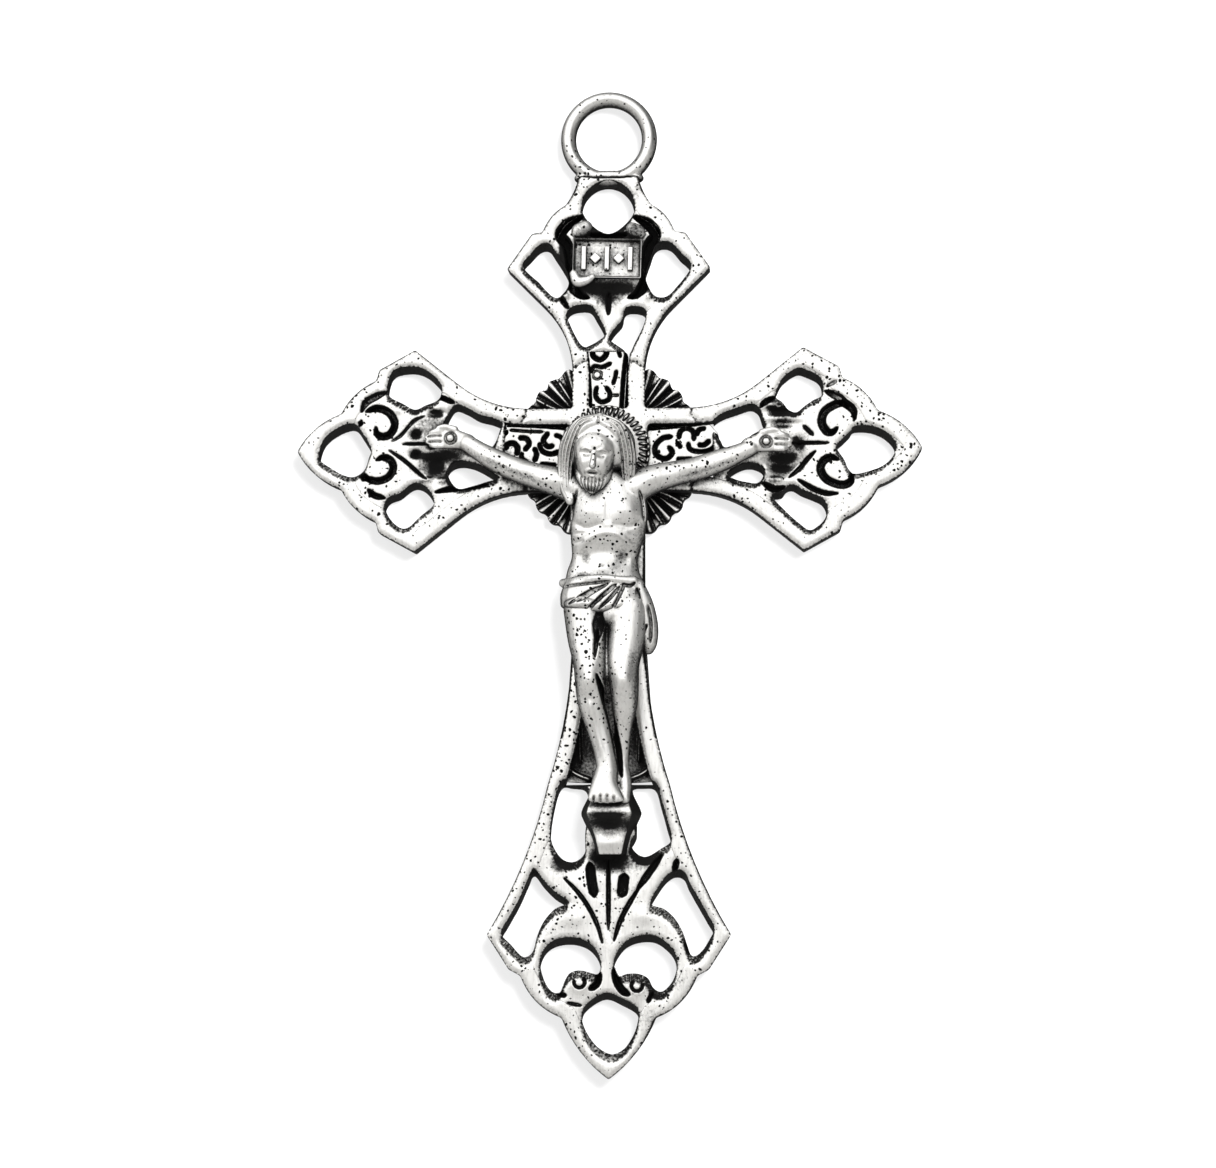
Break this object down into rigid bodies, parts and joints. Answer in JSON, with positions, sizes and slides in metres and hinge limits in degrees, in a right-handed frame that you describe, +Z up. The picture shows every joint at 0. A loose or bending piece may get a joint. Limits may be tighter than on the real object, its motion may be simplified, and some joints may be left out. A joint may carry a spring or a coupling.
{
  "type": "crucifix pendant",
  "caption": "Small openwork cast crucifix with flared leaf-work arm ends, a figure on a foot rest, a ray plate, a halo, a title board and a fixed hanging ring.",
  "frame": {"origin": "centre of the hanging ring's hole, at the middle of the plate's thickness", "axes": "+Z up through the ring, front with the figure faces -Y, +X to the viewer's right"},
  "size_m": [0.0284, 0.0039, 0.045],
  "materials": {
    "bright_casting": "antiqued white metal, satin on the high faces",
    "field_casting": "antiqued white metal, darker in the sunken grounds",
    "ray_casting": "antiqued white metal, blackened between the rays",
    "figure_casting": "antiqued white metal, satin, pitted",
    "pin_metal": "drawn white-metal wire, satin"
  },
  "bodies": {
    "root": {"hanging_ring": "bright_casting", "cross_border": "bright_casting", "filigree_left": "bright_casting", "filigree_right": "bright_casting", "filigree_top": "bright_casting", "filigree_foot": "bright_casting", "scroll_panel_left": "field_casting", "scroll_panel_right": "field_casting", "scroll_panel_top": "field_casting", "shin_panel": "field_casting", "sun_rays": "ray_casting", "halo": "figure_casting", "title_board": "figure_casting", "foot_rest": "figure_casting", "corpus": "figure_casting", "hand_nail_left": "pin_metal", "hand_nail_right": "pin_metal", "corpus_rivet": "pin_metal", "title_rivet": "pin_metal", "rest_rivet": "pin_metal"}
  },
  "joints": []
}
